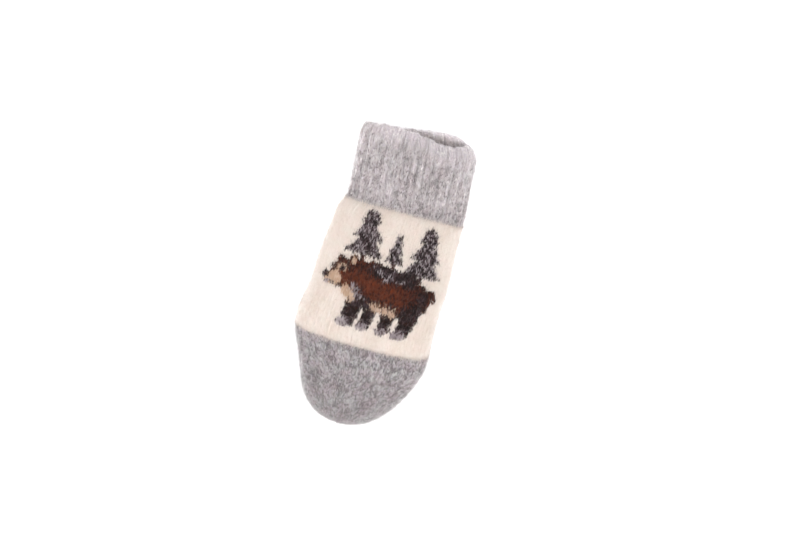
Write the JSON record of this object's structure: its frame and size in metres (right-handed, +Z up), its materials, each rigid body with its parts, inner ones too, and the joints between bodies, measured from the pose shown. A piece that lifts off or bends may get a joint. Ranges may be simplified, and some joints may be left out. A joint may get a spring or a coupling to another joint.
{
  "type": "wool mitten",
  "caption": "Knitted wool mitten lying palm down: ribbed cuff open at the wrist, hollow hand and rounded fingertips, hollow thumb folded flat under the palm.",
  "frame": {"origin": "centre of the mitten's bounding box, on the surface it lies on", "axes": "+Y from the fingertips to the wrist, +X towards the side that the thumb lies on, +Z up from the palm to the back of the hand"},
  "size_m": [0.085, 0.1885, 0.0251],
  "materials": {
    "cuff_wool": "brushed marl knit",
    "cream_wool": "brushed knit",
    "grey_wool": "brushed marl knit"
  },
  "bodies": {
    "root": {"ribbed_cuff": "cuff_wool", "hand": "cream_wool", "fingertips": "grey_wool", "thumb": "grey_wool"}
  },
  "joints": []
}
